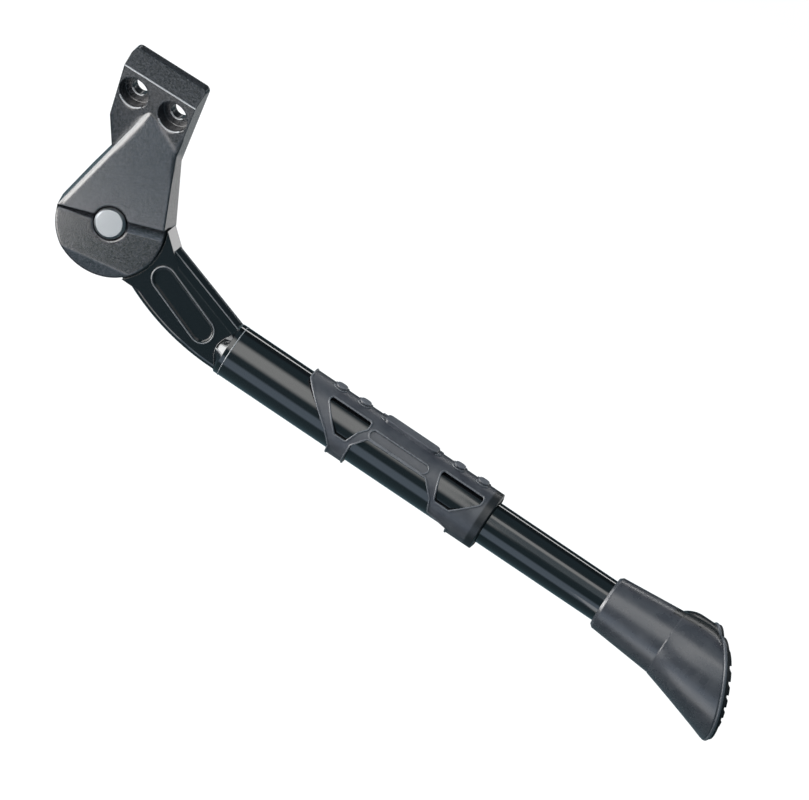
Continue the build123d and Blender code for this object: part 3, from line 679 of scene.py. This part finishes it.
# Long lamps along the leg: the broad key light, a veil before it, a cool fill and a light line on the rim
softbox(
    "key_softbox", towards_side(21), PICTURE_LEG, width=0.96, length=0.30, brightness=2.0,
    tint="#fffdfa", shift=-0.23, soft=0.32,
)
softbox(
    "key_strip", towards_side(34), PICTURE_LEG, width=0.26, length=0.33, brightness=2.0,
    tint="#fffdfa", shift=0.09, soft=0.3,
)
softbox(
    "key_veil", towards_side(12), PICTURE_LEG, width=0.5, length=0.33, brightness=0.5,
    tint="#e6f4ff", shift=0.09,
)
softbox(
    "cool_fill", towards_side(-57.5), PICTURE_LEG, width=0.62, length=0.6, brightness=0.9,
    tint="#d6e8ff", shift=-0.02, soft=0.25,
)
softbox(
    "rim_strip", towards_side(122), PICTURE_LEG, width=0.12, length=1.6, brightness=3.4,
    tint="#ffffff",
)
# Panels for single faces of the housing, the neck and the shoe
softbox(
    "plate_edge_panel", Vector((-0.28, -0.80, 0.53)), UPRIGHT, width=0.12, length=0.08,
    brightness=9.0, tint="#fffefc", target=HOLES_POINT, distance=0.33,
)
softbox(
    "far_left_panel", Vector((-0.82, -0.57, 0.0)), UPRIGHT, width=1.4, length=0.45,
    brightness=3.5, tint="#ffffff",
)
softbox(
    "cheek_panel", Vector((-0.55, -0.83, 0.2)), UPRIGHT, width=0.2, length=0.17,
    brightness=5.8, tint="#fffbf7", target=PIVOT, distance=0.2,
)
softbox(
    "wedge_panel", Vector((-0.01, -0.20, -0.045)), UPRIGHT, width=0.12, length=0.06,
    brightness=1.7, tint="#fff6ee", target=PIVOT, distance=0.21,
)
softbox(
    "toe_panel", Vector((-0.114, -0.927, -0.358)), UPRIGHT, width=0.07, length=0.07,
    brightness=1.4, tint="#fffaf4", target=TOE, distance=0.15,
)
softbox(
    "neck_panel", Vector((-1.0, 0.03, 0.1)), UPRIGHT, width=0.8, length=0.8,
    brightness=4.0, tint="#ffffff",
)
# A sheet overhead that lights without being mirrored
softbox(
    "overhead_sheet", Vector((0, -0.15, 1)), PICTURE_LEG, width=1.5, length=1.5,
    brightness=1.9, tint="#f2f8ff", distance=1.2, mirrored=False,
)

# World: white for the camera; for the object a dim room, with the white table behind and below it
TABLE = Vector((0.2, 0.89, -0.41)).normalized()
BACK_WALL = Vector((0, 0.97, 0.25)).normalized()
world = bpy.data.worlds.new("studio")
bpy.context.scene.world = world
world.use_nodes = True
sky = world.node_tree
sky.nodes.clear()
direction = add(sky, "ShaderNodeTexCoord").outputs["Generated"]
nearness = add(sky, "ShaderNodeVectorMath", {"operation": "DOT_PRODUCT"}, _0=direction, _1=TABLE)
table = add(
    sky, "ShaderNodeMapRange", {"interpolation_type": "SMOOTHSTEP"}, Value=nearness.outputs["Value"],
    From_Min=0.95, From_Max=0.99,
)
# Above the table's far edge the room is dark
facing_back = add(sky, "ShaderNodeVectorMath", {"operation": "DOT_PRODUCT"}, _0=direction, _1=BACK_WALL)
back_wall = add(
    sky, "ShaderNodeMapRange", {"interpolation_type": "SMOOTHSTEP"}, Value=facing_back.outputs["Value"],
    From_Min=0.72, From_Max=0.88,
)
walls = add(
    sky, "ShaderNodeMix", {"data_type": "RGBA"},
    _0=back_wall.outputs[0], _6=linear("#587079"), _7=linear("#263035"),
)
room = add(
    sky, "ShaderNodeMix", {"data_type": "RGBA"},
    _0=table.outputs[0], _6=walls.outputs[2], _7=linear("#ffffff"),
)
sight = add(sky, "ShaderNodeLightPath").outputs["Is Camera Ray"]
shown = add(
    sky, "ShaderNodeMix", {"data_type": "RGBA"}, _0=sight, _6=room.outputs[2], _7=linear("#ffffff")
)
background = add(sky, "ShaderNodeBackground", Color=shown.outputs[2])
add(sky, "ShaderNodeOutputWorld", Surface=background.outputs[0])

# Floor: a pale sheet well below the stand, nearly white for the camera
FLOOR_DROP = 0.32
HALF_FLOOR = 6.0
FLOOR_GLOW = 0.85
floor_height = cad_low.z - FLOOR_DROP
floor_mesh = bpy.data.meshes.new("floor")
floor_mesh.from_pydata(
    [
        (-HALF_FLOOR, -HALF_FLOOR, floor_height),
        (HALF_FLOOR, -HALF_FLOOR, floor_height),
        (HALF_FLOOR, HALF_FLOOR, floor_height),
        (-HALF_FLOOR, HALF_FLOOR, floor_height),
    ],
    [],
    [(0, 1, 2, 3)],
)
floor = into_scene("floor", floor_mesh)
floor_paper, floor_tree, floor_output = new_material("floor_paper")
rays = add(floor_tree, "ShaderNodeLightPath").outputs
shiny = add(
    floor_tree, "ShaderNodeMath", {"operation": "MAXIMUM"},
    _0=rays["Is Glossy Ray"], _1=rays["Is Transmission Ray"],
)
seen = add(
    floor_tree, "ShaderNodeMath", {"operation": "MAXIMUM"}, _0=rays["Is Camera Ray"], _1=shiny.outputs[0]
)
glow = add(floor_tree, "ShaderNodeMath", {"operation": "MULTIPLY"}, _0=seen.outputs[0], _1=FLOOR_GLOW)
sheet = add(
    floor_tree, "ShaderNodeBsdfPrincipled", Base_Color=linear("#808080"), Roughness=0.9,
    Emission_Color=linear("#ffffff"), Emission_Strength=glow.outputs[0],
)
floor_tree.links.new(sheet.outputs[0], floor_output.inputs[0])
floor_mesh.materials.append(floor_paper)
floor.visible_glossy = False

bpy.context.scene.view_settings.view_transform = "Standard"
